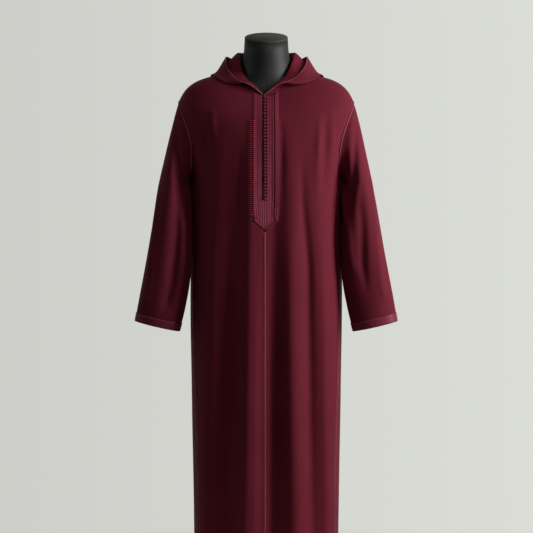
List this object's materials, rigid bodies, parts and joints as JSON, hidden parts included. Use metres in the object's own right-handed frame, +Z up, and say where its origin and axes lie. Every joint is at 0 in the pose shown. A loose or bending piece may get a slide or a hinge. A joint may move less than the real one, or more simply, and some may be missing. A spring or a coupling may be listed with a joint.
{
  "type": "djellaba robe on dress form",
  "caption": "long hooded robe with a knotted neck slit, pointed placket, long wide sleeves and cuff bands, standing on a limbless dress form with a round base",
  "frame": {"origin": "centre of the round base's underside, on the floor, on the pole's axis", "axes": "+Z up, the robe's front faces -Y, +X is the wearer's left"},
  "size_m": [0.7472, 0.35, 1.6157],
  "materials": {
    "cloth": "fine smooth crepe, deep burgundy with a soft sheen",
    "satin_trim": "satin bands and silk braid, a little brighter than the cloth",
    "form_black": "smooth charcoal, satin",
    "form_cap": "smooth charcoal, matt",
    "stand_metal": "black powder coat"
  },
  "bodies": {
    "root": {"front_left": "cloth", "front_right": "cloth", "back": "cloth", "sleeve_left": "cloth", "sleeve_right": "cloth", "hood": "cloth", "placket": "satin_trim", "front_braid": "satin_trim", "cuff_band_left": "satin_trim", "cuff_band_right": "satin_trim", "knot_01": "satin_trim", "knot_02": "satin_trim", "knot_03": "satin_trim", "knot_04": "satin_trim", "knot_05": "satin_trim", "knot_06": "satin_trim", "knot_07": "satin_trim", "knot_08": "satin_trim", "knot_09": "satin_trim", "knot_10": "satin_trim", "knot_11": "satin_trim", "knot_12": "satin_trim", "knot_13": "satin_trim", "knot_14": "satin_trim", "knot_15": "satin_trim", "knot_16": "satin_trim", "knot_17": "satin_trim", "knot_18": "satin_trim", "knot_19": "satin_trim", "knot_20": "satin_trim", "knot_21": "satin_trim", "knot_22": "satin_trim", "knot_23": "satin_trim", "knot_24": "satin_trim", "knot_25": "satin_trim", "knot_26": "satin_trim", "knot_27": "satin_trim", "knot_28": "satin_trim", "knot_29": "satin_trim", "knot_30": "satin_trim", "knot_31": "satin_trim", "knot_32": "satin_trim", "dress_form": "form_black", "neck_cap": "form_cap", "stand_pole": "stand_metal", "stand_base": "stand_metal"}
  },
  "joints": []
}
